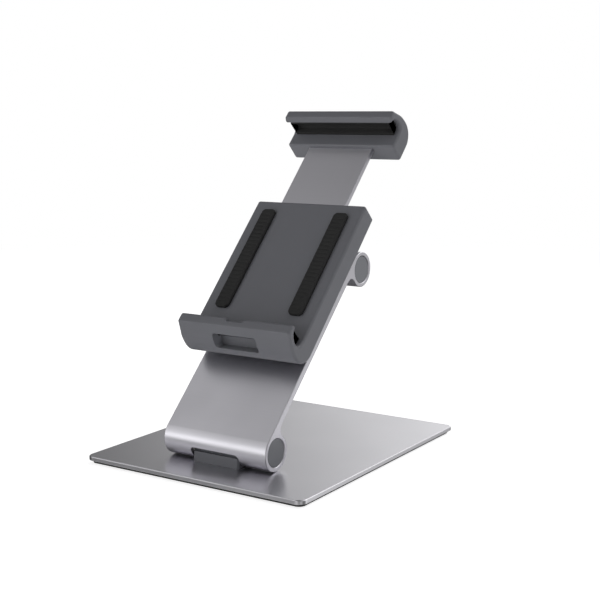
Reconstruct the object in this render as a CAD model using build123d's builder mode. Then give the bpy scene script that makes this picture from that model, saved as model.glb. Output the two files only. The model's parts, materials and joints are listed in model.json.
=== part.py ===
from build123d import *
import os
from math import cos, radians, sin

# Desk stand for a tablet: a base plate, a folding arm and a head with two jaws.
# Units are millimetres. +X is right, +Y is back and +Z is up, seen from the user's side.
# The origin is the centre of the base's underside.

# ---------------------------------------------------------------- driving dimensions
BASE_W, BASE_D, BASE_CORNER = 155.0, 183.0, 5.0
PAD_T, PAD_INSET = 2.2, 2.0
PLATE_T, PLATE_BREAK = 2.6, 0.4

ARM_W, ARM_T = 73.7, 4.05
ARM_LEAN = 45.2  # from the vertical, leaning back
ARM_LENGTH = 135.0  # hinge axis to hinge axis
ARM_BREAK, WEB_FILLET = 0.35, 5.0
BARREL_R, BORE_R = 11.0, 8.5
HINGE_Y, HINGE_GAP = -56.05, 0.25  # lower hinge axis, and the air under the barrel

HUB_R, HUB_W = 8.42, 33.0  # a hub runs in the barrel's bore
SLOT_W, SLOT_CORNER = 34.6, 2.6  # the window in each barrel for its knuckle
SLOT_FRONT_ANGLE = 12.0  # below the horizontal, on the front of the lower barrel
SLOT_BACK_ANGLE = 6.0  # above the horizontal, on its back
BLOCK_FRONT, BLOCK_BACK = 8.95, 6.05  # the base block's reach either side of the axis
BLOCK_SHOULDER, BLOCK_BREAK = 4.8, 1.0  # below the axis, and its upright edges
NECK_T, NECK_GAP, NECK_BREAK = 12.0, 0.5, 1.0  # the head's knuckle, up the head
HEAD_TILT, TILT_SPARE = 45.0, 3.0  # degrees from rest, and the window's extra

PIN_R, PIN_CLEARANCE, PIN_HEAD_R, PIN_HEAD_L = 3.0, 0.05, 5.0, 4.0
WASHER_GAP, WASHER_T, BUSH_L = 0.03, 0.54, 9.0
CUP_T, CUP_RISE, CUP_PITCH, CUP_COUNT, CUP_R = 0.55, 0.4, 1.0, 4, 6.0
NUT_FLATS, NUT_L = 10.0, 3.2
CAP_R, CAP_T, CAP_RECESS, CAP_SKIRT, CAP_WALL = 8.42, 2.6, 0.25, 3.0, 1.2

HEAD_LEAN = 44.1
HEAD_W = 81.4
HUB_U, HUB_V = 78.35, -39.09  # the upper hinge axis in the head's frame
BODY_TOP, CAVITY_BOTTOM = 105.9, 1.0
FRONT_V, BACK_V, WALL = -9.8, -23.2, 2.2
TABLET_H, TABLET_T, TABLET_GAP = 169.5, 7.5, 0.2
JAW_FOOT = 14.0  # the upper jaw's block reaches this far below the tablet's edge
END_ROUND, FOOT_ROUND = 1.8, 1.2

TONGUE_W, TONGUE_T, TONGUE_BACK = 48.0, 2.8, -14.9
TONGUE_END, TONGUE_SEAT, TONGUE_GAP = 53.0, 167.5, 0.1
RACK_PITCH, RACK_DEPTH, RACK_W, RACK_COUNT = 3.0, 0.6, 4.0, 30
TABLE_R, TABLE_T, TABLE_BACK = 29.0, 2.4, -26.6
SPINDLE_R, SPINDLE_TOP, SPINDLE_CLEARANCE = 7.0, -19.05, 0.06
DISC_R, DISC_T = 11.0, 1.2
DISC_SPRING_T, DISC_SPRING_RISE = 0.5, 0.4
LOCK_R, LOCK_U, LOCK_V, CAM_R = 3.2, 58.0, -17.5, 2.4
M3, M4, M5 = 1.5, 2.0, 2.5  # screw shank radii
THREAD_GAP = 0.02  # radial air between a screw and its thread

os.makedirs("parts", exist_ok=True)

# ---------------------------------------------------------------- frames
PLATE_TOP = PAD_T + PLATE_T
HINGE_Z = PLATE_TOP + HINGE_GAP + BARREL_R
HALF_ARM = ARM_W / 2
HALF_HEAD = HEAD_W / 2


def lean_axes(lean):
    """Unit vectors up along a panel that leans back, and out of its front."""
    a = radians(lean)
    return Vector(0, sin(a), cos(a)), Vector(0, -cos(a), sin(a))


ARM_UP, ARM_OUT = lean_axes(ARM_LEAN)
HEAD_UP, HEAD_OUT = lean_axes(HEAD_LEAN)
LOWER_HINGE = Vector(0, HINGE_Y, HINGE_Z)
UPPER_HINGE = LOWER_HINGE + ARM_UP * ARM_LENGTH
HEAD_ORIGIN = UPPER_HINGE - HEAD_UP * HUB_U - HEAD_OUT * HUB_V
HINGES = (("lower", LOWER_HINGE), ("upper", UPPER_HINGE))

# Side sections: local x runs up the panel, local y out of its front, and they extrude along +X.
ARM_SIDE = Plane(LOWER_HINGE, x_dir=ARM_UP, z_dir=(1, 0, 0))
HEAD_SIDE = Plane(HEAD_ORIGIN, x_dir=HEAD_UP, z_dir=(1, 0, 0))


def across(centre, x):
    """A plane square to a hinge axis at station x: local x is +Y, local y is +Z."""
    return Plane(centre + Vector(x, 0, 0), x_dir=(0, 1, 0), z_dir=(1, 0, 0))


def along(centre):
    """A plane that holds a hinge axis: local x runs along the axis, local y is +Z."""
    return Plane(centre, x_dir=(1, 0, 0), z_dir=(0, -1, 0))


def head_point(x, u, v):
    """x to the right, u up the head from the tablet's lower edge, v out of the tablet's glass."""
    return HEAD_ORIGIN + Vector(x, 0, 0) + HEAD_UP * u + HEAD_OUT * v


def head_face(v):
    """A plane across the head at depth v: local x is +X, local y runs up the head."""
    return Plane(head_point(0, 0, v), x_dir=(1, 0, 0), z_dir=HEAD_OUT)


def head_station(x):
    """A side section of the head at station x."""
    return Plane(head_point(x, 0, 0), x_dir=HEAD_UP, z_dir=(1, 0, 0))


def save(piece, label):
    piece.part.label = label
    export_step(piece.part, f"parts/{label}.step")


# ---------------------------------------------------------------- base
BLOCK_MID = HINGE_Y + (BLOCK_BACK - BLOCK_FRONT) / 2
BLOCK_D = BLOCK_FRONT + BLOCK_BACK
BASE_SCREWS = [(-10.0, BLOCK_MID), (10.0, BLOCK_MID)]
BASE_SCREW_TIP, BASE_HEAD_R = 11.5, 4.0
HEX_R, HEX_DEPTH = 1.6, 1.2

with BuildPart() as base_pad:
    with BuildSketch(Plane.XY):
        RectangleRounded(BASE_W - 2 * PAD_INSET, BASE_D - 2 * PAD_INSET, BASE_CORNER - 1)
    extrude(amount=PAD_T)
save(base_pad, "base_pad")

with BuildPart() as base_plate:
    with BuildSketch(Plane.XY.offset(PAD_T)):
        RectangleRounded(BASE_W, BASE_D, BASE_CORNER)
    extrude(amount=PLATE_T)
    chamfer(base_plate.faces().sort_by(Axis.Z)[-1].edges(), PLATE_BREAK)
    chamfer(base_plate.faces().sort_by(Axis.Z)[0].edges(), PLATE_BREAK / 2)
    with BuildSketch(Plane.XY.offset(PAD_T)):
        with Locations(*BASE_SCREWS):
            Circle(M4 + THREAD_GAP)
    extrude(amount=PLATE_T, mode=Mode.SUBTRACT)
    with BuildSketch(Plane.XY.offset(PAD_T)):
        with Locations(*BASE_SCREWS):
            Circle(BASE_HEAD_R + THREAD_GAP)
    extrude(amount=BASE_HEAD_R - M4, taper=45, mode=Mode.SUBTRACT)
save(base_plate, "base_plate")

with BuildPart() as base_screws:
    with BuildSketch(Plane.XY.offset(PAD_T)):
        with Locations(*BASE_SCREWS):
            Circle(M4)
    extrude(amount=BASE_SCREW_TIP - PAD_T)
    with BuildSketch(Plane.XY.offset(PAD_T)):
        with Locations(*BASE_SCREWS):
            Circle(BASE_HEAD_R)
    extrude(amount=BASE_HEAD_R - M4, taper=45)
    with BuildSketch(Plane.XY.offset(PAD_T)):
        with Locations(*BASE_SCREWS):
            RegularPolygon(HEX_R, 6)
    extrude(amount=HEX_DEPTH, mode=Mode.SUBTRACT)
save(base_screws, "base_screws")

with BuildPart() as base_knuckle:
    with BuildSketch(across(LOWER_HINGE, 0)):
        Circle(HUB_R)
        with Locations((BLOCK_MID - HINGE_Y, -BLOCK_SHOULDER)):
            Rectangle(
                BLOCK_D, HINGE_Z - PLATE_TOP - BLOCK_SHOULDER, align=(Align.CENTER, Align.MAX)
            )
        Circle(PIN_R + PIN_CLEARANCE, mode=Mode.SUBTRACT)
    extrude(amount=HUB_W / 2, both=True)
    chamfer(base_knuckle.edges().filter_by(Axis.Z), BLOCK_BREAK)
    with BuildSketch(Plane.XY.offset(PLATE_TOP)):
        with Locations(*BASE_SCREWS):
            Circle(M4 + THREAD_GAP)
    extrude(amount=BASE_SCREW_TIP - PLATE_TOP + 0.3, mode=Mode.SUBTRACT)
save(base_knuckle, "base_knuckle")

# ---------------------------------------------------------------- arm
FAR = 30.0  # past the outside of a barrel


def window_edge(degrees):
    """A point past the barrel's wall, at an angle up from +Y about a hinge."""
    a = radians(degrees)
    return (FAR * cos(a), FAR * sin(a))


# The far wall of the upper window stays clear of the neck when the head is tilted right back.
HALF_NECK = NECK_T / 2 + NECK_GAP
TURN = radians(HEAD_TILT + TILT_SPARE)
TURNED_IN = (HALF_NECK * cos(TURN), -HALF_NECK * sin(TURN))
TURNED_OUT = (TURNED_IN[0] + FAR * sin(TURN), TURNED_IN[1] + FAR * cos(TURN))

with BuildPart() as arm:
    with BuildSketch(ARM_SIDE) as arm_section:
        with Locations((0, 0), (ARM_LENGTH, 0)):
            Circle(BARREL_R)
        with Locations((ARM_LENGTH / 2, BARREL_R)):
            Rectangle(ARM_LENGTH, ARM_T, align=(Align.CENTER, Align.MAX))
        web_back = arm_section.vertices().filter_by_position(
            Axis.Y, BARREL_R - ARM_T - 0.1, BARREL_R - ARM_T + 0.1
        )
        fillet(web_back, WEB_FILLET)
        with Locations((0, 0), (ARM_LENGTH, 0)):
            Circle(BORE_R, mode=Mode.SUBTRACT)
    extrude(amount=HALF_ARM, both=True)
    chamfer(arm.faces().filter_by(Axis.X).edges(), ARM_BREAK)
    with BuildSketch(across(LOWER_HINGE, 0)):
        with BuildLine():
            Polyline(
                (0, 0),
                window_edge(180 + SLOT_FRONT_ANGLE),
                (-FAR, -FAR),
                (FAR, -FAR),
                window_edge(SLOT_BACK_ANGLE),
                close=True,
            )
        make_face()
    extrude(amount=SLOT_W / 2, both=True, mode=Mode.SUBTRACT)
    with BuildSketch(Plane(UPPER_HINGE, x_dir=ARM_UP, z_dir=(1, 0, 0))):
        with BuildLine():
            Polyline(
                (-HALF_NECK, 0), (-HALF_NECK, FAR), (FAR, FAR), TURNED_OUT, TURNED_IN, close=True
            )
        make_face()
    extrude(amount=SLOT_W / 2, both=True, mode=Mode.SUBTRACT)
    lower_lip = Vector(0, -cos(radians(SLOT_FRONT_ANGLE)), -sin(radians(SLOT_FRONT_ANGLE)))
    for wall in (lower_lip, ARM_OUT):
        corners = arm.edges().filter_by(Axis(origin=(0, 0, 0), direction=wall))
        fillet(corners, SLOT_CORNER)
save(arm, "arm")

for end, centre in HINGES:
    for side, sign in (("left", -1), ("right", 1)):
        face_x = sign * (HALF_ARM - CAP_RECESS)
        with BuildPart() as cap:
            with BuildSketch(across(centre, face_x)):
                Circle(CAP_R)
            extrude(amount=-sign * CAP_T)
            with BuildSketch(across(centre, face_x - sign * CAP_T)):
                Circle(CAP_R)
                Circle(CAP_R - CAP_WALL, mode=Mode.SUBTRACT)
            extrude(amount=-sign * CAP_SKIRT)
            chamfer(cap.faces().sort_by(Axis.X)[-1 if sign > 0 else 0].edges(), 0.3)
        save(cap, f"{end}_cap_{side}")

# ---------------------------------------------------------------- hinge stacks
WASHER_X = HUB_W / 2 + WASHER_GAP
BUSH_X = WASHER_X + WASHER_T + WASHER_GAP
CUPS_X = BUSH_X + BUSH_L + WASHER_GAP
NUT_X = CUPS_X + CUP_COUNT * CUP_PITCH
BUSH_R = BORE_R - WASHER_GAP

for end, centre in HINGES:
    with BuildPart() as pin:
        with BuildSketch(across(centre, -BUSH_X - BUSH_L - PIN_HEAD_L)):
            Circle(PIN_R)
        extrude(amount=BUSH_X + BUSH_L + PIN_HEAD_L + NUT_X + NUT_L + 0.3)
        with BuildSketch(across(centre, -BUSH_X - BUSH_L - PIN_HEAD_L)):
            Circle(PIN_HEAD_R)
        extrude(amount=PIN_HEAD_L)
        with BuildSketch(across(centre, -BUSH_X - BUSH_L - PIN_HEAD_L)):
            RegularPolygon(2.5, 6)
        extrude(amount=PIN_HEAD_L / 2, mode=Mode.SUBTRACT)
    save(pin, f"{end}_pin")

    with BuildPart() as washers:
        for start in (-WASHER_X - WASHER_T, WASHER_X):
            with BuildSketch(across(centre, start)):
                Circle(BUSH_R)
                Circle(PIN_R + PIN_CLEARANCE, mode=Mode.SUBTRACT)
            extrude(amount=WASHER_T)
    save(washers, f"{end}_washers")

    with BuildPart() as bushes:
        for start in (-BUSH_X - BUSH_L, BUSH_X):
            with BuildSketch(across(centre, start)):
                Circle(BUSH_R)
                Circle(PIN_R + PIN_CLEARANCE, mode=Mode.SUBTRACT)
            extrude(amount=BUSH_L)
    save(bushes, f"{end}_bushes")

    with BuildPart() as springs:
        with BuildSketch(along(centre)):
            for cup in range(CUP_COUNT):
                x = CUPS_X + cup * CUP_PITCH
                rise_in, rise_out = (0, CUP_RISE) if cup % 2 == 0 else (CUP_RISE, 0)
                with BuildLine():
                    Polyline(
                        (x + rise_in, PIN_R + 0.1),
                        (x + rise_in + CUP_T, PIN_R + 0.1),
                        (x + rise_out + CUP_T, CUP_R),
                        (x + rise_out, CUP_R),
                        close=True,
                    )
                make_face()
        revolve(axis=Axis(centre, (1, 0, 0)))
    save(springs, f"{end}_springs")

    with BuildPart() as nut:
        with BuildSketch(across(centre, NUT_X)):
            RegularPolygon(NUT_FLATS / 2, 6, major_radius=False)
            Circle(PIN_R + THREAD_GAP, mode=Mode.SUBTRACT)
        extrude(amount=NUT_L)
    save(nut, f"{end}_nut")

# ---------------------------------------------------------------- head's knuckle and turntable
TABLE_FRONT = TABLE_BACK + TABLE_T
TABLE_SCREWS = [(-11.5, HUB_U), (11.5, HUB_U)]
TABLE_SCREW_TIP, TABLE_HEAD_R = -32.0, 2.9
CENTRE_SCREW_TIP, CENTRE_HEAD_R, CENTRE_HEAD_L = -32.6, 4.6, 2.6
DISC_TOP = SPINDLE_TOP + DISC_T
RING_R, RING_HOLE = 20.5, 12.0
FACE_GAP = 0.05
DISC_SPRING_SEAT = SPINDLE_TOP - FACE_GAP - DISC_SPRING_T - DISC_SPRING_RISE

with BuildPart() as head_knuckle:
    with BuildSketch(HEAD_SIDE):
        with Locations((HUB_U, HUB_V)):
            Circle(HUB_R)
            Rectangle(NECK_T, TABLE_BACK - HUB_V, align=(Align.CENTER, Align.MIN))
            Circle(PIN_R + PIN_CLEARANCE, mode=Mode.SUBTRACT)
    extrude(amount=HUB_W / 2, both=True)
    chamfer(head_knuckle.edges().filter_by(Axis((0, 0, 0), HEAD_OUT)), NECK_BREAK)
    with BuildSketch(head_face(TABLE_BACK)):
        with Locations((0, HUB_U)):
            Circle(M5 + THREAD_GAP)
    extrude(amount=CENTRE_SCREW_TIP - TABLE_BACK - 0.3, mode=Mode.SUBTRACT)
    with BuildSketch(head_face(TABLE_BACK)):
        with Locations(*TABLE_SCREWS):
            Circle(M3 + THREAD_GAP)
    extrude(amount=TABLE_SCREW_TIP - TABLE_BACK - 0.3, mode=Mode.SUBTRACT)
save(head_knuckle, "head_knuckle")

with BuildPart() as turntable_plate:
    with BuildSketch(head_face(TABLE_BACK)):
        with Locations((0, HUB_U)):
            Circle(TABLE_R)
            Circle(M5 + 0.1, mode=Mode.SUBTRACT)
        with Locations(*TABLE_SCREWS):
            Circle(M3 + THREAD_GAP, mode=Mode.SUBTRACT)
    extrude(amount=TABLE_T)
    with BuildSketch(head_face(TABLE_FRONT)):
        with Locations(*TABLE_SCREWS):
            Circle(TABLE_HEAD_R + THREAD_GAP)
    extrude(amount=M3 - TABLE_HEAD_R, taper=45, mode=Mode.SUBTRACT)
save(turntable_plate, "turntable_plate")

with BuildPart() as turntable_plate_screws:
    with BuildSketch(head_face(TABLE_FRONT)):
        with Locations(*TABLE_SCREWS):
            Circle(M3)
    extrude(amount=TABLE_SCREW_TIP - TABLE_FRONT)
    with BuildSketch(head_face(TABLE_FRONT)):
        with Locations(*TABLE_SCREWS):
            Circle(TABLE_HEAD_R)
    extrude(amount=M3 - TABLE_HEAD_R, taper=45)
    with BuildSketch(head_face(TABLE_FRONT)):
        with Locations(*TABLE_SCREWS):
            RegularPolygon(1.2, 6)
    extrude(amount=-1.0, mode=Mode.SUBTRACT)
save(turntable_plate_screws, "turntable_plate_screws")

with BuildPart() as turntable_ring:
    with BuildSketch(head_face(TABLE_FRONT + FACE_GAP)):
        with Locations((0, HUB_U)):
            Circle(RING_R)
            Circle(RING_HOLE, mode=Mode.SUBTRACT)
    extrude(amount=BACK_V - TABLE_FRONT - 2 * FACE_GAP)
save(turntable_ring, "turntable_ring")

with BuildPart() as turntable_spindle:
    with BuildSketch(head_face(TABLE_FRONT)):
        with Locations((0, HUB_U)):
            Circle(SPINDLE_R)
            Circle(M5 + 0.1, mode=Mode.SUBTRACT)
    extrude(amount=SPINDLE_TOP - TABLE_FRONT)
save(turntable_spindle, "turntable_spindle")

with BuildPart() as turntable_washer:
    with BuildSketch(head_face(SPINDLE_TOP)):
        with Locations((0, HUB_U)):
            Circle(DISC_R)
            Circle(M5 + 0.1, mode=Mode.SUBTRACT)
    extrude(amount=DISC_T)
save(turntable_washer, "turntable_washer")

with BuildPart() as turntable_spring:
    with BuildSketch(HEAD_SIDE):
        with BuildLine():
            Polyline(
                (HUB_U + SPINDLE_R + 0.2, DISC_SPRING_SEAT),
                (HUB_U + SPINDLE_R + 0.2, DISC_SPRING_SEAT + DISC_SPRING_T),
                (HUB_U + DISC_R, DISC_SPRING_SEAT + DISC_SPRING_RISE + DISC_SPRING_T),
                (HUB_U + DISC_R, DISC_SPRING_SEAT + DISC_SPRING_RISE),
                close=True,
            )
        make_face()
    revolve(axis=Axis(head_point(0, HUB_U, 0), HEAD_OUT))
save(turntable_spring, "turntable_spring")

with BuildPart() as turntable_screw:
    with BuildSketch(head_face(CENTRE_SCREW_TIP)):
        with Locations((0, HUB_U)):
            Circle(M5)
    extrude(amount=DISC_TOP - CENTRE_SCREW_TIP)
    with BuildSketch(head_face(DISC_TOP)):
        with Locations((0, HUB_U)):
            Circle(CENTRE_HEAD_R)
    extrude(amount=CENTRE_HEAD_L)
    with BuildSketch(head_face(DISC_TOP + CENTRE_HEAD_L)):
        with Locations((0, HUB_U)):
            RegularPolygon(2.3, 6)
    extrude(amount=-1.5, mode=Mode.SUBTRACT)
save(turntable_screw, "turntable_screw")

# ---------------------------------------------------------------- jaws
LIP_IN, LIP_OUT = (5.6, 2.4), (3.5, 5.7)  # the lip's top edge
CREASE = (-2.1, 5.7)
CHIN = (-6.8, -2.9)  # where the sloping front turns into the round underside
BELLY = (-8.8, -12.3)
BACK_EDGE = (2.1, BACK_V)
GROOVE_IN, GROOVE_LOW, GROOVE_BACK, GROOVE_END = (2.0, 1.5), (-2.1, -5.6), (1.2, -9.1), (4.1, FRONT_V)


def jaw_outline(edge, way, foot):
    """A closed jaw section. edge is the tablet's edge, way points from it into the tablet,
    and foot is how far the section reaches that way."""

    def at(point):
        return (edge + way * point[0], point[1])

    Polyline(at(BACK_EDGE), at((foot, BACK_V)), at((foot, FRONT_V)), at(GROOVE_END), at(GROOVE_BACK))
    TangentArc(at(GROOVE_LOW), at(GROOVE_BACK), tangent=(0, -1))
    TangentArc(at(GROOVE_LOW), at(GROOVE_IN), tangent=(0, 1))
    Polyline(at(GROOVE_IN), at(LIP_IN), at(LIP_OUT), at(CREASE), at(CHIN))
    TangentArc(at(BELLY), at(CHIN), tangent=(0, 1))
    TangentArc(at(BELLY), at(BACK_EDGE), tangent=(0, -1))


def soften(sketch, edge, way, foot):
    """Rounds the lip's two edges, the crease under it and the two corners at the foot."""
    ends = (((foot, BACK_V), FOOT_ROUND), ((foot, FRONT_V), FOOT_ROUND))
    for point, radius in ((LIP_IN, 0.6), (LIP_OUT, 1.3), (CREASE, 1.0), *ends):
        target = Vector(edge + way * point[0], point[1])
        fillet(sketch.vertices().sort_by_distance(target)[0], radius)


NOTCH_TOP, NOTCH_FLOOR, NOTCH_DEPTH = 7.6, 5.8, 1.25  # half widths, and the floor's height
CABLE_W, CABLE_H, CABLE_CORNER, CABLE_RISE = 31.6, 10.1, 1.8, 10.0
CABLE_MOUTH, CABLE_DEPTH = (-7.15, -4.25), 8.4
BOSS_R = 3.2
HEAD_SCREWS = [(x, u) for x in (-33.5, 33.5) for u in (12.0, 95.0)]
HEAD_SCREW_TIP, HEAD_SCREW_R = -15.2, 2.8
BACK_T = 2.2
BACK_IN = BACK_V + BACK_T
CAVITY_V = FRONT_V - WALL
CAVITY_W = HEAD_W - 2 * WALL
CAVITY_H = BODY_TOP - WALL - CAVITY_BOTTOM
CAVITY_MID = CAVITY_BOTTOM + CAVITY_H / 2
LOCK_BLOCK_W, LOCK_BLOCK_D = 10.0, 8.6
LOCK_END, CAM_END, CAM_FLAT, LOCK_CLEARANCE = -28.5, -19.5, 0.6, 0.08

cable_in = Vector(0, cos(radians(CABLE_RISE)), sin(radians(CABLE_RISE)))
cable_start = head_point(0, *CABLE_MOUTH) - cable_in * CABLE_DEPTH

with BuildPart() as head_front:
    with BuildSketch(HEAD_SIDE) as head_section:
        with BuildLine():
            jaw_outline(0, 1, BODY_TOP)
        make_face()
        soften(head_section, 0, 1, BODY_TOP)
    extrude(amount=HALF_HEAD, both=True)
    fillet(head_front.faces().filter_by(Axis.X).edges(), END_ROUND)
    with BuildSketch(head_face(BACK_V)):
        with Locations((0, CAVITY_MID)):
            RectangleRounded(CAVITY_W, CAVITY_H, 2)
    extrude(amount=CAVITY_V - BACK_V, mode=Mode.SUBTRACT)
    with BuildSketch(head_face(BACK_IN)):
        with Locations(*HEAD_SCREWS):
            Circle(BOSS_R)
        with Locations((WALL - HALF_HEAD, LOCK_U)):
            Rectangle(LOCK_BLOCK_D, LOCK_BLOCK_W, align=(Align.MIN, Align.CENTER))
    extrude(amount=CAVITY_V - BACK_IN)
    with BuildSketch(head_face(BACK_IN)):
        with Locations(*HEAD_SCREWS):
            Circle(M3 + THREAD_GAP)
    extrude(amount=HEAD_SCREW_TIP + 0.5 - BACK_IN, mode=Mode.SUBTRACT)
    with BuildSketch(head_station(-HALF_HEAD)):
        with Locations((LOCK_U, LOCK_V)):
            Circle(LOCK_R + LOCK_CLEARANCE)
    extrude(amount=LOCK_BLOCK_D + WALL, mode=Mode.SUBTRACT)
    with BuildSketch(HEAD_SIDE):
        with Locations((BODY_TOP, TONGUE_BACK - TONGUE_GAP)):
            Rectangle(4 * WALL, TONGUE_T + 2 * TONGUE_GAP, align=(Align.CENTER, Align.MIN))
    extrude(amount=TONGUE_W / 2 + 2 * TONGUE_GAP, both=True, mode=Mode.SUBTRACT)
    with BuildSketch(head_face(LIP_OUT[1] + 1)):
        with BuildLine():
            Polyline(
                (-NOTCH_TOP, LIP_IN[0] + 0.5),
                (NOTCH_TOP, LIP_IN[0] + 0.5),
                (NOTCH_FLOOR, NOTCH_DEPTH),
                (-NOTCH_FLOOR, NOTCH_DEPTH),
                close=True,
            )
        make_face()
    extrude(amount=-LIP_OUT[1], mode=Mode.SUBTRACT)
    with BuildSketch(Plane(cable_start, x_dir=(1, 0, 0), z_dir=cable_in)):
        RectangleRounded(CABLE_W, CABLE_H, CABLE_CORNER)
    extrude(amount=2 * CABLE_DEPTH, mode=Mode.SUBTRACT)
save(head_front, "head_front")

with BuildPart() as head_back:
    with BuildSketch(head_face(BACK_V)):
        with Locations((0, CAVITY_MID)):
            RectangleRounded(CAVITY_W - 0.3, CAVITY_H - 0.3, 2)
    extrude(amount=BACK_T)
    chamfer(head_back.faces().sort_by(Axis(HEAD_ORIGIN, HEAD_OUT))[0].edges(), 0.3)
    with BuildSketch(head_face(BACK_IN)):
        with Locations((0, HUB_U)):
            Circle(DISC_R)
    extrude(amount=DISC_SPRING_SEAT - FACE_GAP - BACK_IN)
    with BuildSketch(head_face(BACK_V)):
        with Locations((0, HUB_U)):
            Circle(SPINDLE_R + SPINDLE_CLEARANCE)
    extrude(amount=SPINDLE_TOP - BACK_V, mode=Mode.SUBTRACT)
    with BuildSketch(head_face(BACK_V)):
        with Locations(*HEAD_SCREWS):
            Circle(M3 + THREAD_GAP)
    extrude(amount=BACK_T, mode=Mode.SUBTRACT)
    with BuildSketch(head_face(BACK_V)):
        with Locations(*HEAD_SCREWS):
            Circle(HEAD_SCREW_R + THREAD_GAP)
    extrude(amount=HEAD_SCREW_R - M3, taper=45, mode=Mode.SUBTRACT)
save(head_back, "head_back")

with BuildPart() as head_screws:
    with BuildSketch(head_face(BACK_V)):
        with Locations(*HEAD_SCREWS):
            Circle(M3)
    extrude(amount=HEAD_SCREW_TIP - BACK_V)
    with BuildSketch(head_face(BACK_V)):
        with Locations(*HEAD_SCREWS):
            Circle(HEAD_SCREW_R)
    extrude(amount=HEAD_SCREW_R - M3, taper=45)
    with BuildSketch(head_face(BACK_V)):
        with Locations(*HEAD_SCREWS):
            RegularPolygon(1.2, 6)
    extrude(amount=1.0, mode=Mode.SUBTRACT)
save(head_screws, "head_screws")

# ---------------------------------------------------------------- inside the head
GUIDE_W, GUIDE_LIP, GUIDE_LIP_T = 3.0, 2.6, 1.6
GUIDE_RUNS = ((20.0, 50.0), (66.0, 103.0))
GUIDE_IN = TONGUE_W / 2 + TONGUE_GAP
GUIDE_TOP = CAVITY_V - FACE_GAP
GUIDE_SEAT = TONGUE_BACK - TONGUE_GAP

with BuildPart() as slide_guides:
    for low, high in GUIDE_RUNS:
        for side in (-1, 1):
            with BuildSketch(head_face(GUIDE_TOP)):
                with Locations((side * (GUIDE_IN + GUIDE_W / 2), (low + high) / 2)):
                    Rectangle(GUIDE_W, high - low)
            extrude(amount=GUIDE_SEAT - GUIDE_LIP_T - GUIDE_TOP)
            with BuildSketch(head_face(GUIDE_SEAT)):
                with Locations((side * (GUIDE_IN - GUIDE_LIP / 2), (low + high) / 2)):
                    Rectangle(GUIDE_LIP, high - low)
            extrude(amount=-GUIDE_LIP_T)
save(slide_guides, "slide_guides")

with BuildPart() as lock_cylinder:
    with BuildSketch(head_station(0.2 - HALF_HEAD)):
        with Locations((LOCK_U, LOCK_V)):
            Circle(LOCK_R)
    extrude(amount=LOCK_END + HALF_HEAD - 0.2)
    with BuildSketch(head_station(0.2 - HALF_HEAD)):
        with Locations((LOCK_U, LOCK_V)):
            Rectangle(3.6, 1.0)
            Circle(0.9)
    extrude(amount=4.0, mode=Mode.SUBTRACT)
    with BuildSketch(head_station(LOCK_END)):
        with Locations((LOCK_U, LOCK_V)):
            Circle(CAM_R)
        with Locations((LOCK_U, LOCK_V + CAM_FLAT)):
            Rectangle(2 * CAM_R, 2 * CAM_R, align=(Align.CENTER, Align.MIN), mode=Mode.SUBTRACT)
    extrude(amount=CAM_END - LOCK_END)
save(lock_cylinder, "lock_cylinder")

# ---------------------------------------------------------------- linings and pads
LINER_IN_W, LINER_GAP_W = 75.0, 34.0
LINER_FRONT, LINER_BACK = TABLET_GAP, -TABLET_T - TABLET_GAP
LINER_REACH = 4.6


def liner_outline(edge, way):
    """The lining between the jaw's groove and the tablet."""

    def at(u, v):
        return (edge + way * u, v)

    slope = (LIP_IN[1] - GROOVE_IN[1]) / (LIP_IN[0] - GROOVE_IN[0])
    lip_v = GROOVE_IN[1] + slope * (LINER_REACH - GROOVE_IN[0])
    TangentArc(at(*GROOVE_LOW), at(*GROOVE_BACK), tangent=(0, -1))
    TangentArc(at(*GROOVE_LOW), at(*GROOVE_IN), tangent=(0, 1))
    Polyline(at(*GROOVE_IN), at(LINER_REACH, lip_v), at(LINER_REACH, LINER_FRONT), at(0, LINER_FRONT))
    Polyline(at(0, LINER_FRONT), at(-TABLET_GAP, -TABLET_T / 2), at(0, LINER_BACK))
    Polyline(at(0, LINER_BACK), at(LINER_REACH, LINER_BACK), at(LINER_REACH, FRONT_V))
    Polyline(at(LINER_REACH, FRONT_V), at(*GROOVE_END), at(*GROOVE_BACK))


with BuildPart() as lower_jaw_liner:
    with BuildSketch(HEAD_SIDE):
        with BuildLine():
            liner_outline(0, 1)
        make_face()
    extrude(amount=LINER_IN_W / 2, both=True)
    Box(LINER_GAP_W, BASE_D, 4 * BASE_D, mode=Mode.SUBTRACT)
save(lower_jaw_liner, "lower_jaw_liner")

with BuildPart() as upper_jaw_liner:
    with BuildSketch(HEAD_SIDE):
        with BuildLine():
            liner_outline(TABLET_H, -1)
        make_face()
    extrude(amount=LINER_IN_W / 2, both=True)
save(upper_jaw_liner, "upper_jaw_liner")

PAD_X, PAD_W, PAD_LOW, PAD_HIGH = 27.0, 10.0, 20.0, 98.0

with BuildPart() as front_pads:
    with BuildSketch(head_face(FRONT_V)):
        with Locations((-PAD_X, (PAD_LOW + PAD_HIGH) / 2), (PAD_X, (PAD_LOW + PAD_HIGH) / 2)):
            RectangleRounded(PAD_W, PAD_HIGH - PAD_LOW, 3)
    extrude(amount=LINER_BACK - FRONT_V)
save(front_pads, "front_pads")

# ---------------------------------------------------------------- sliding jaw
TONGUE_SCREWS = [(-14.0, 161.5), (14.0, 161.5)]
TONGUE_HEAD_V, TONGUE_HEAD_R, TONGUE_HEAD_L, TONGUE_TIP = -17.4, 2.8, 2.0, -12.3
RACK_LOW = TONGUE_END + RACK_PITCH

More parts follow.
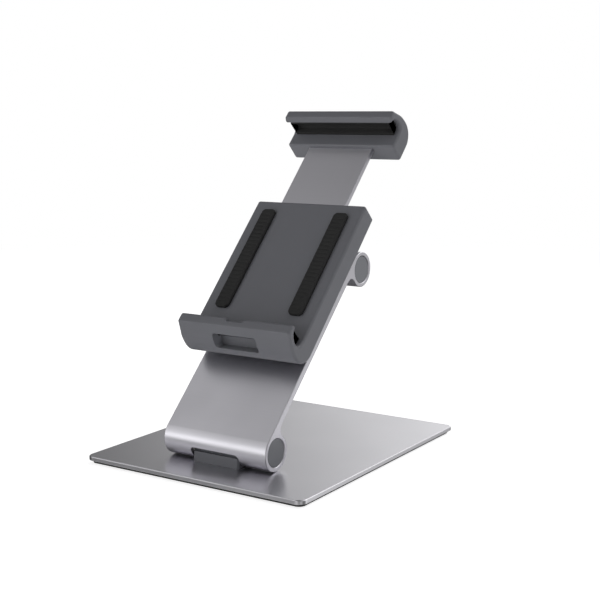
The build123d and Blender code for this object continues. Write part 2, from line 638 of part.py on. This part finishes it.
with BuildPart() as upper_jaw:
    with BuildSketch(HEAD_SIDE) as upper_section:
        with BuildLine():
            jaw_outline(TABLET_H, -1, JAW_FOOT)
        make_face()
        soften(upper_section, TABLET_H, -1, JAW_FOOT)
    extrude(amount=HALF_HEAD, both=True)
    fillet(upper_jaw.faces().filter_by(Axis.X).edges(), END_ROUND)
    with BuildSketch(HEAD_SIDE):
        with Locations((TONGUE_SEAT, TONGUE_BACK - THREAD_GAP)):
            Rectangle(JAW_FOOT, TONGUE_T + 2 * THREAD_GAP, align=(Align.MAX, Align.MIN))
    extrude(amount=TONGUE_W / 2 + THREAD_GAP, both=True, mode=Mode.SUBTRACT)
    with BuildSketch(head_face(BACK_V)):
        with Locations(*TONGUE_SCREWS):
            Circle(TONGUE_HEAD_R + 0.2)
    extrude(amount=TONGUE_HEAD_V - BACK_V, mode=Mode.SUBTRACT)
    with BuildSketch(head_face(BACK_V)):
        with Locations(*TONGUE_SCREWS):
            Circle(M3 + 0.1)
    extrude(amount=TONGUE_BACK - BACK_V, mode=Mode.SUBTRACT)
save(upper_jaw, "upper_jaw")

with BuildPart() as jaw_tongue:
    with BuildSketch(head_face(TONGUE_BACK)):
        with Locations((0, (TONGUE_END + TONGUE_SEAT) / 2)):
            RectangleRounded(TONGUE_W, TONGUE_SEAT - TONGUE_END - THREAD_GAP, 1.5)
        with Locations(*TONGUE_SCREWS):
            Circle(M3 + THREAD_GAP, mode=Mode.SUBTRACT)
    extrude(amount=TONGUE_T)
    with BuildSketch(head_face(TONGUE_BACK)):
        for tooth in range(RACK_COUNT):
            with Locations((-(TONGUE_W - RACK_W) / 2, RACK_LOW + tooth * RACK_PITCH)):
                Rectangle(RACK_W, RACK_PITCH / 2)
    extrude(amount=RACK_DEPTH, mode=Mode.SUBTRACT)
save(jaw_tongue, "jaw_tongue")

with BuildPart() as tongue_screws:
    with BuildSketch(head_face(TONGUE_HEAD_V)):
        with Locations(*TONGUE_SCREWS):
            Circle(M3)
    extrude(amount=TONGUE_TIP - TONGUE_HEAD_V)
    with BuildSketch(head_face(TONGUE_HEAD_V)):
        with Locations(*TONGUE_SCREWS):
            Circle(TONGUE_HEAD_R)
    extrude(amount=-TONGUE_HEAD_L)
    with BuildSketch(head_face(TONGUE_HEAD_V - TONGUE_HEAD_L)):
        with Locations(*TONGUE_SCREWS):
            RegularPolygon(1.3, 6)
    extrude(amount=1.2, mode=Mode.SUBTRACT)
save(tongue_screws, "tongue_screws")
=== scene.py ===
import json
import math

import bmesh
import bpy
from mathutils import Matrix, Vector


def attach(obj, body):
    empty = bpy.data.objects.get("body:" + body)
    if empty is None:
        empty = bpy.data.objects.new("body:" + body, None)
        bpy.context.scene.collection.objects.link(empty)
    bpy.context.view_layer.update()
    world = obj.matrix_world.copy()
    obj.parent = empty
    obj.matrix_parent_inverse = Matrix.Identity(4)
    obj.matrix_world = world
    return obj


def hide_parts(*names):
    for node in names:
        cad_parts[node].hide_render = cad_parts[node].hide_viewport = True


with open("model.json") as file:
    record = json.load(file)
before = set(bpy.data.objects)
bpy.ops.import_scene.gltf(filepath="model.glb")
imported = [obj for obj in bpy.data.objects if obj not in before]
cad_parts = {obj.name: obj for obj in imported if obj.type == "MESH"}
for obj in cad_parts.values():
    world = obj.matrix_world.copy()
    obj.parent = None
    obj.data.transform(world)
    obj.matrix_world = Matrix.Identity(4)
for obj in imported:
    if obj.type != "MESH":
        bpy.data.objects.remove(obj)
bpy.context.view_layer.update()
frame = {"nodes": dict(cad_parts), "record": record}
MM = 0.001

# ------------------------------------------------------------------ shader nodes
WHITE = (1.0, 1.0, 1.0, 1.0)


class Graph:
    """A small wrapper that makes and links shader nodes."""

    def __init__(self, tree):
        self.tree = tree
        tree.nodes.clear()

    def add(self, kind, settings=None, **inputs):
        node = self.tree.nodes.new(kind)
        for key, value in (settings or {}).items():
            setattr(node, key, value)
        for key, value in inputs.items():
            self.put(node.inputs[key.replace("_", " ")], value)
        return node

    def put(self, socket, value):
        """Links the socket to another one, or sets its value."""
        if isinstance(value, bpy.types.NodeSocket):
            self.tree.links.new(value, socket)
        else:
            socket.default_value = value

    def maths(self, operation, a, b=0.0):
        node = self.add("ShaderNodeMath", {"operation": operation})
        self.put(node.inputs[0], a)
        self.put(node.inputs[1], b)
        return node.outputs[0]

    def vector(self, operation, a, b=(0.0, 0.0, 0.0)):
        node = self.add("ShaderNodeVectorMath", {"operation": operation})
        self.put(node.inputs[0], a)
        self.put(node.inputs[1], b)
        return node.outputs["Value" if operation in ("DOT_PRODUCT", "LENGTH") else "Vector"]

    def scaled(self, colour, factor):
        scaled = self.vector("SCALE", colour)
        self.put(scaled.node.inputs["Scale"], factor)
        return scaled

    def stretch(self, value, low, high, to_low=0.0, to_high=1.0):
        """Maps low to high onto to_low to to_high, smoothly and without passing either end."""
        node = self.add("ShaderNodeMapRange", {"interpolation_type": "SMOOTHSTEP"})
        for socket, setting in zip(node.inputs, (value, low, high, to_low, to_high)):
            self.put(socket, setting)
        return node.outputs[0]

    def mix(self, factor, a, b):
        node = self.add("ShaderNodeMix", {"data_type": "RGBA"})
        self.put(node.inputs["Factor"], factor)
        for socket, colour in zip([s for s in node.inputs if s.type == "RGBA"], (a, b)):
            self.put(socket, colour)
        return next(s for s in node.outputs if s.type == "RGBA")

    def noise(self, vector, scale, detail=2.0, roughness=0.5):
        node = self.add("ShaderNodeTexNoise", Vector=vector, Scale=scale, Detail=detail, Roughness=roughness)
        return node.outputs[0]

    def blend(self, kind, *inputs):
        """A shader that adds or mixes the others."""
        node = self.add(kind)
        for socket, value in zip(node.inputs, inputs):
            self.put(socket, value)
        return node.outputs[0]


# ------------------------------------------------------------------ finishes
SLOW, STREAK = 28.0, (6.0, 1800.0, 1800.0)  # how often the slow patches and the streaks repeat in a metre
NOISE_LOW, NOISE_HIGH = 0.3, 0.7  # most of a noise's values lie between these
EDGE_START, EDGE_FULL = 0.004, 0.16  # how far the normal bends at an edge where the painted edge highlight starts, and where it is full


def grey(value):
    return (value, value, value)


def finish_of(
    name,
    colour,
    roughness,
    metallic=0.0,
    grain=(3000.0, 0.006),
    patches=0.04,
    edge_highlight=1.12,
    edge=0.25,
    streaks=0.0,
    specular=0.5,
    speckle=0.015,
):
    """A procedural material: a fine grain in the surface, slow patches in its tone and gloss,
    optional streaks along X, and edges painted lighter as a painted highlight. The grain is how often it
    repeats in a metre and its height in millimetres, and edge is the edges' radius."""
    material = bpy.data.materials.new(name)
    material.use_nodes = True
    g = Graph(material.node_tree)
    place = g.add("ShaderNodeTexCoord").outputs["Object"]
    slow = g.noise(place, SLOW, 3.0)
    fine = g.noise(place, grain[0], 2.0, 0.6)

    def varied(noise, amount):
        return g.stretch(noise, NOISE_LOW, NOISE_HIGH, 1 - amount, 1 + amount)

    tone = varied(slow, patches)
    if streaks:
        along = g.vector("MULTIPLY", place, STREAK)
        tone = g.maths("MULTIPLY", tone, varied(g.noise(along, 1.0), streaks))
    tone = g.maths("MULTIPLY", tone, varied(fine, speckle))
    normal = g.add("ShaderNodeBevel", {"samples": 4}, Radius=edge * MM).outputs[0]
    flat_normal = g.add("ShaderNodeNewGeometry").outputs["Normal"]
    bent = g.maths("SUBTRACT", 1.0, g.vector("DOT_PRODUCT", normal, flat_normal))
    uneven = g.stretch(slow, 0.25, NOISE_HIGH, 0.55, 1.0)
    # Painted highlight: the edges' colour is made lighter where the bevel bends the normal, unevenly along
    # them.
    edge_highlight_mask = g.maths("MULTIPLY", g.stretch(bent, EDGE_START, EDGE_FULL), uneven)
    if grain[1]:
        bump = g.add("ShaderNodeBump", Strength=1.0, Distance=grain[1] * MM, Height=fine, Normal=normal)
        normal = bump.outputs[0]
    shader = g.add(
        "ShaderNodeBsdfPrincipled",
        Base_Color=g.mix(edge_highlight_mask, g.scaled(colour, tone), g.scaled(colour, edge_highlight)),
        Metallic=metallic,
        Roughness=g.maths("MULTIPLY", roughness, varied(slow, 0.07)),
        Normal=normal,
        Specular_IOR_Level=specular,
    )
    g.add("ShaderNodeOutputMaterial", Surface=shader.outputs[0])
    return material


# In these finishes the edge factor lightens the edges' colour as a painted highlight; 1.0 paints none.
SATIN = {"metallic": 1.0, "patches": 0.012, "edge_highlight": 1.0, "edge": 0.3, "speckle": 0.004}
RUBBER = {"edge_highlight": 1.3, "edge": 0.3, "specular": 0.3}
FINISHES = {
    "arm_metal": finish_of(
        "satin_anodised", (0.655, 0.647, 0.688), 0.37, grain=(2600.0, 0.0006), streaks=0.006, **SATIN
    ),
    "plate_metal": finish_of("satin_plate", (0.632, 0.626, 0.655), 0.3, grain=(2600.0, 0.0), **SATIN),
    "grey_plastic": finish_of(
        "moulded_grey", (0.16, 0.163, 0.181), 0.5, grain=(2400.0, 0.012), patches=0.03, edge_highlight=1.35, edge=0.5
    ),
    # The cap's grey is the moulded grey made about a quarter lighter; the extra lightness is painted light
    # on the cap's end face.
    "cap_plastic": finish_of(
        "cap_grey_painted_light", (0.2, 0.206, 0.225), 0.44, grain=(3600.0, 0.006), patches=0.02, edge_highlight=1.3, edge=0.3
    ),
    "soft_rubber": finish_of(
        "soft_black_rubber", grey(0.028), 0.78, grain=(1800.0, 0.02), patches=0.06, **RUBBER
    ),
    "pad_rubber": finish_of(
        "underlay_rubber", grey(0.035), 0.85, grain=(1500.0, 0.03), patches=0.08, **RUBBER
    ),
    "zinc_steel": finish_of(
        "zinc_plated", (0.62, 0.63, 0.62), 0.36, 1.0, (1200.0, 0.006), patches=0.06, edge_highlight=1.15, edge=0.2
    ),
    "black_steel": finish_of(
        "blackened_steel", grey(0.045), 0.42, 0.7, (1600.0, 0.006), patches=0.06, edge_highlight=1.8, edge=0.2
    ),
    "acetal": finish_of(
        "acetal", (0.74, 0.72, 0.67), 0.42, 0.0, (1400.0, 0.006), patches=0.03, edge_highlight=1.05, edge=0.2
    ),
    "lock_chrome": finish_of(
        "polished_nickel", (0.7, 0.69, 0.67), 0.16, 1.0, (900.0, 0.001), patches=0.02, edge_highlight=1.05, edge=0.2
    ),
}

for row in frame["record"]["subparts"]:
    node = frame["nodes"][row["node"]]
    node.data.materials.clear()
    node.data.materials.append(FINISHES[row["material_slot"]])

# ------------------------------------------------------------------ making rubber pieces
# The head's own axes: its origin is where the tablet's lower front edge rests.
HEAD_ORIGIN = Vector((0.0, -42.854, 82.114))
HEAD_LEAN = math.radians(44.1)
HEAD_UP = Vector((0.0, math.sin(HEAD_LEAN), math.cos(HEAD_LEAN)))
HEAD_OUT = Vector((0.0, -math.cos(HEAD_LEAN), math.sin(HEAD_LEAN)))
FRONT_V = -9.8  # the head's front face


def on_head(x, u, v):
    """x to the right, u up the head, v out of its front, in millimetres."""
    return (HEAD_ORIGIN + Vector((x, 0, 0)) + HEAD_UP * u + HEAD_OUT * v) * MM


def lofted(name, runs, material):
    """A piece of closed tubes. Each run is a list of rings with the same count of points."""
    made = bmesh.new()
    for rings in runs:
        rows = [[made.verts.new(p) for p in ring] for ring in rings]
        for a, b in zip(rows, rows[1:]):
            for i in range(len(a)):
                j = (i + 1) % len(a)
                made.faces.new((a[i], a[j], b[j], b[i]))
        for row in (rows[0], rows[-1]):
            made.faces.new(row)
    bmesh.ops.recalc_face_normals(made, faces=made.faces)
    for face in made.faces:
        face.smooth = len(face.verts) == 4
    mesh = bpy.data.meshes.new(name)
    made.to_mesh(mesh)
    made.free()
    mesh.materials.append(material)
    piece = bpy.data.objects.new(name, mesh)
    bpy.context.scene.collection.objects.link(piece)
    return piece


def stands_for(piece, node, body):
    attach(piece, body)
    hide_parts(node)


def inset(ring, depth):
    """The ring's points moved inwards, square to the line through their neighbours."""
    following = ring[1:] + ring[:1]
    area = sum(a[0] * b[1] - b[0] * a[1] for a, b in zip(ring, following))
    turn = 1.0 if area > 0 else -1.0
    moved = []
    for i, (u, v) in enumerate(ring):
        du = following[i][0] - ring[i - 1][0]
        dv = following[i][1] - ring[i - 1][1]
        size = math.hypot(du, dv) or 1.0
        moved.append((u - turn * dv / size * depth, v + turn * du / size * depth))
    return moved


def bend(start, end, steps):
    """Points along an arc that leaves start square to u, up to end."""
    du, dv = end[0] - start[0], end[1] - start[1]
    radius = (du * du + dv * dv) / (2 * du)
    sweep = math.atan2(dv, radius - du)
    points = []
    for i in range(1, steps + 1):
        angle = sweep * i / steps
        points.append((start[0] + radius * (1 - math.cos(angle)), start[1] + radius * math.sin(angle)))
    return points


# ------------------------------------------------------------------ linings of the two jaws
TABLET_H = 169.5
GROOVE_IN, GROOVE_LOW, GROOVE_BACK = (2.0, 1.5), (-2.1, -5.6), (1.2, -9.1)
LINER_TOP, LIP_V = 4.6, 2.15
GLASS_V, CASE_V = 0.2, -7.7  # the walls that touch the tablet's glass and its back
RIB_TALL, RIBS, RIB_STEPS = 0.3, 4, 6
LINER_END, CABLE_GAP = 37.5, 17.0
END_ROUNDING = ((0.0, 0.5), (0.12, 0.25), (0.35, 0.08), (0.7, 0.0))  # distance from an end, and inset


def ribbed(start, end, v, out):
    """Fine ribs along the jaw, cut into a wall of the lining that touches the tablet."""
    count = RIBS * RIB_STEPS
    points = []
    for i in range(count + 1):
        u = start + (end - start) * i / count
        points.append((u, v + out * RIB_TALL * (0.5 - 0.5 * math.cos(2 * math.pi * i / RIB_STEPS))))
    return points


LINER_RING = (
    [GROOVE_LOW]
    + bend(GROOVE_LOW, GROOVE_IN, 12)
    + [(3.3, 1.83), (LINER_TOP - 0.35, LIP_V - 0.05), (LINER_TOP - 0.08, LIP_V - 0.35)]
    + [(LINER_TOP, 1.2)]
    + ribbed(LINER_TOP - 0.1, 0.35, GLASS_V, 1.0)
    + [(0.12, 0.1), (0.0, -0.25), (-0.2, -2.2), (-0.2, -5.3), (0.0, -7.25), (0.12, -7.6)]
    + ribbed(0.35, LINER_TOP - 0.1, CASE_V, -1.0)
    + [(LINER_TOP, -8.2), (LINER_TOP, -9.3), (LINER_TOP - 0.15, FRONT_V + 0.1), (4.1, FRONT_V)]
    + list(reversed(bend(GROOVE_LOW, GROOVE_BACK, 10)))
)


def lining(edge, way, spans):
    """One run of rings for each span of x, with its two ends rounded over."""
    runs = []
    for low, high in spans:
        stations = [(low + x, depth) for x, depth in END_ROUNDING]
        stations += [(low + high - x, depth) for x, depth in reversed(stations)]
        runs.append([[on_head(x, edge + way * u, v) for u, v in inset(LINER_RING, d)] for x, d in stations])
    return runs


lower_spans = ((-LINER_END, -CABLE_GAP), (CABLE_GAP, LINER_END))
lower_liner = lofted("jaw_liner_lower", lining(0, 1, lower_spans), FINISHES["soft_rubber"])
stands_for(lower_liner, "lower_jaw_liner", "head")
upper_spans = ((-LINER_END, LINER_END),)
upper_liner = lofted("jaw_liner_upper", lining(TABLET_H, -1, upper_spans), FINISHES["soft_rubber"])
stands_for(upper_liner, "upper_jaw_liner", "jaw")

# ------------------------------------------------------------------ strips on the head's front
STRIP_X, STRIP_LOW, STRIP_HIGH = 27.0, 20.0, 98.0
STRIP_HALF, STRIP_TALL, STRIP_CORNER, STRIP_EDGE = 5.0, 2.1, 3.0, 0.7
CROSS_PITCH, CROSS_DEEP, CROSS_START = 3.0, 0.32, 4


def strip(x, low, high):
    """A glued rubber strip with round ends, a crowned face and cross ribs."""
    rings = []
    steps = int((high - low) * 4)
    for i in range(steps + 1):
        u = low + (high - low) * i / steps
        near = min(u - low, high - u)
        side = STRIP_HALF
        if near < STRIP_CORNER:
            chord = math.sqrt(max(STRIP_CORNER**2 - (STRIP_CORNER - near) ** 2, 0.0))
            side = STRIP_HALF - STRIP_CORNER + chord
        edge = min(near / STRIP_EDGE, 1.0)
        crown = STRIP_TALL - STRIP_EDGE * (1 - math.sqrt(max(1 - (1 - edge) ** 2, 0.0)))
        wave = 0.5 + 0.5 * math.cos(2 * math.pi * (u - low - CROSS_START) / CROSS_PITCH)
        rib = 0.0 if near < CROSS_START else CROSS_DEEP * wave**3
        ring = [(-side, 0.0), (-side, crown - STRIP_EDGE - 0.05)]
        for k in range(5):
            a = math.radians(90 * k / 4)
            across = STRIP_EDGE * (1 - math.cos(a))
            ring.append((-side + across, crown - STRIP_EDGE + STRIP_EDGE * math.sin(a)))
        ring += [(-side + 1.2, crown - rib), (-side / 3, crown - rib), (0.0, crown - rib)]
        ring += [(-px, v) for px, v in reversed(ring[:-1])]
        rings.append([on_head(x + px, u, FRONT_V + v) for px, v in ring])
    return rings


strips = [strip(x, STRIP_LOW, STRIP_HIGH) for x in (-STRIP_X, STRIP_X)]
stands_for(lofted("front_strips", strips, FINISHES["soft_rubber"]), "front_pads", "head")

# ------------------------------------------------------------------ underlay of the base
UNDERLAY_X, UNDERLAY_Y, UNDERLAY_T, UNDERLAY_CORNER = 75.5, 89.5, 2.2, 4.0
STUD_TALL, STUD_R, STUD_ROW, STUD_COLUMN = 0.35, 1.5, 12.2, 12.4


def underlay_ring(shrink, z):
    """The underlay's outline at a height, made smaller all round."""
    points = []
    radius = UNDERLAY_CORNER - shrink
    for corner, (sx, sy) in enumerate(((1, 1), (-1, 1), (-1, -1), (1, -1))):
        for k in range(7):
            a = math.radians(90 * corner + 15 * k)
            x = sx * (UNDERLAY_X - UNDERLAY_CORNER) + radius * math.cos(a)
            y = sy * (UNDERLAY_Y - UNDERLAY_CORNER) + radius * math.sin(a)
            points.append(Vector((x, y, z)) * MM)
    return points


def stud(x, y):
    """A low round foot under the underlay, with a broken lower edge."""
    rings = []
    for radius, z in ((STUD_R, STUD_TALL + 0.05), (STUD_R, 0.12), (STUD_R - 0.12, 0.0)):
        angles = [k * math.pi / 6 for k in range(12)]
        rings.append([Vector((x + radius * math.cos(a), y + radius * math.sin(a), z)) * MM for a in angles])
    return rings


slab = [
    underlay_ring(0.35, STUD_TALL),
    underlay_ring(0.1, STUD_TALL + 0.1),
    underlay_ring(0, STUD_TALL + 0.35),
    underlay_ring(0, UNDERLAY_T - 0.2),
    underlay_ring(0.1, UNDERLAY_T),
]
studs = [
    stud(STUD_ROW * i, STUD_COLUMN * (j + 0.5 * (i % 2))) for i in range(-5, 6) for j in range(-6, 7)
]
underlay = lofted("underlay", [slab] + studs, FINISHES["pad_rubber"])
stands_for(underlay, "base_pad", "base")

# ------------------------------------------------------------------ camera
CAMERA_PLACE = Vector((0.39874, -0.58693, 0.20695))
CAMERA_TARGET = Vector((0.01646, 0.0, 0.09534))
LENS, SENSOR = 69.76, 36.0

camera = bpy.data.objects.new("camera", bpy.data.cameras.new("camera"))
bpy.context.scene.collection.objects.link(camera)
camera.data.lens = LENS
camera.data.sensor_width = SENSOR
camera.data.clip_start = 0.02
camera.location = CAMERA_PLACE
camera.rotation_euler = (CAMERA_TARGET - CAMERA_PLACE).to_track_quat("-Z", "Y").to_euler()
bpy.context.scene.camera = camera
bpy.context.scene.view_settings.view_transform = "Standard"

# ------------------------------------------------------------------ floor
FLOOR_R = 30.0
PAPER = (0.9, 0.9, 0.9, 1.0)
GLOW_CAST, GLOW_SEEN, GLOW_FAR = 0.46, 0.75, 1.0  # the paper's glow: on the object, as seen, and far away
FADE_START, FADE_END = 0.3, 1.2  # metres from the origin

disc = bmesh.new()
bmesh.ops.create_circle(disc, cap_ends=True, segments=96, radius=FLOOR_R)
floor_mesh = bpy.data.meshes.new("floor")
disc.to_mesh(floor_mesh)
disc.free()
floor = bpy.data.objects.new("floor", floor_mesh)
bpy.context.scene.collection.objects.link(floor)
floor.visible_glossy = False

paper = bpy.data.materials.new("white_paper")
paper.use_nodes = True
g = Graph(paper.node_tree)
away = g.vector("LENGTH", g.add("ShaderNodeTexCoord").outputs["Object"])
seen = g.add("ShaderNodeLightPath").outputs["Is Camera Ray"]
diffuse = g.add("ShaderNodeBsdfDiffuse", Color=PAPER).outputs[0]
near_strength = g.stretch(seen, 0.0, 1.0, GLOW_CAST, GLOW_SEEN)
near_glow = g.add("ShaderNodeEmission", Color=WHITE, Strength=near_strength).outputs[0]
far_glow = g.add("ShaderNodeEmission", Color=WHITE, Strength=GLOW_FAR).outputs[0]
near = g.blend("ShaderNodeAddShader", diffuse, near_glow)
faded = g.blend("ShaderNodeMixShader", g.stretch(away, FADE_START, FADE_END), near, far_glow)
g.add("ShaderNodeOutputMaterial", Surface=faded)
floor_mesh.materials.append(paper)

# ------------------------------------------------------------------ light
# Soft studio light: broad patches in the room around the object, each as
# (azimuth from +X, elevation, half width in degrees, strength).
ROOM_LEVEL = 0.05
PATCHES = (
    (180, -60, 20, 0.55),
    (240, -60, 20, 1.05),
    (36, -32, 16, 0.95),
    (48, -12, 13, 1.05),
    (264, -12, 13, 0.8),
    (288, -12, 13, 0.3),
    (325, -12, 13, 0.9),
    (100, 8, 11, 1.15),
    (120, 8, 11, 0.8),
    (220, 8, 11, 1.15),
    (240, 8, 11, 1.85),
    (260, 8, 11, 1.35),
    (280, 8, 11, 0.45),
    (320, 8, 11, 0.5),
    (340, 8, 11, 0.3),
    (40, 28, 12, 0.8),
    (60, 28, 12, 0.5),
    (80, 28, 12, 0.5),
    (100, 28, 12, 1.8),
    (220, 28, 12, 0.95),
    (0, 48, 14, 0.9),
    (30, 48, 14, 0.4),
    (60, 48, 14, 1.8),
    (90, 48, 14, 0.5),
    (210, 48, 14, 0.8),
)
world = bpy.data.worlds.new("studio")
bpy.context.scene.world = world
world.use_nodes = True
g = Graph(world.node_tree)
direction = g.vector("NORMALIZE", g.add("ShaderNodeTexCoord").outputs["Generated"])
total = ROOM_LEVEL
for azimuth, elevation, width, strength in PATCHES:
    a, e = math.radians(azimuth), math.radians(elevation)
    centre = (math.cos(a) * math.cos(e), math.sin(a) * math.cos(e), math.sin(e))
    sharpness = math.log(2) / (1 - math.cos(math.radians(width)))
    off_centre = g.maths("SUBTRACT", g.vector("DOT_PRODUCT", direction, centre), 1.0)
    falloff = g.maths("EXPONENT", g.maths("MULTIPLY", off_centre, sharpness))
    total = g.maths("ADD", g.maths("MULTIPLY", falloff, strength), total)
seen = g.add("ShaderNodeLightPath").outputs["Is Camera Ray"]
lights = g.add("ShaderNodeBackground", Color=WHITE, Strength=total).outputs[0]
backdrop = g.add("ShaderNodeBackground", Color=WHITE, Strength=1.0).outputs[0]
g.add("ShaderNodeOutputWorld", Surface=g.blend("ShaderNodeMixShader", seen, lights, backdrop))

# ------------------------------------------------------------------ the last line
bpy.context.view_layer.update()
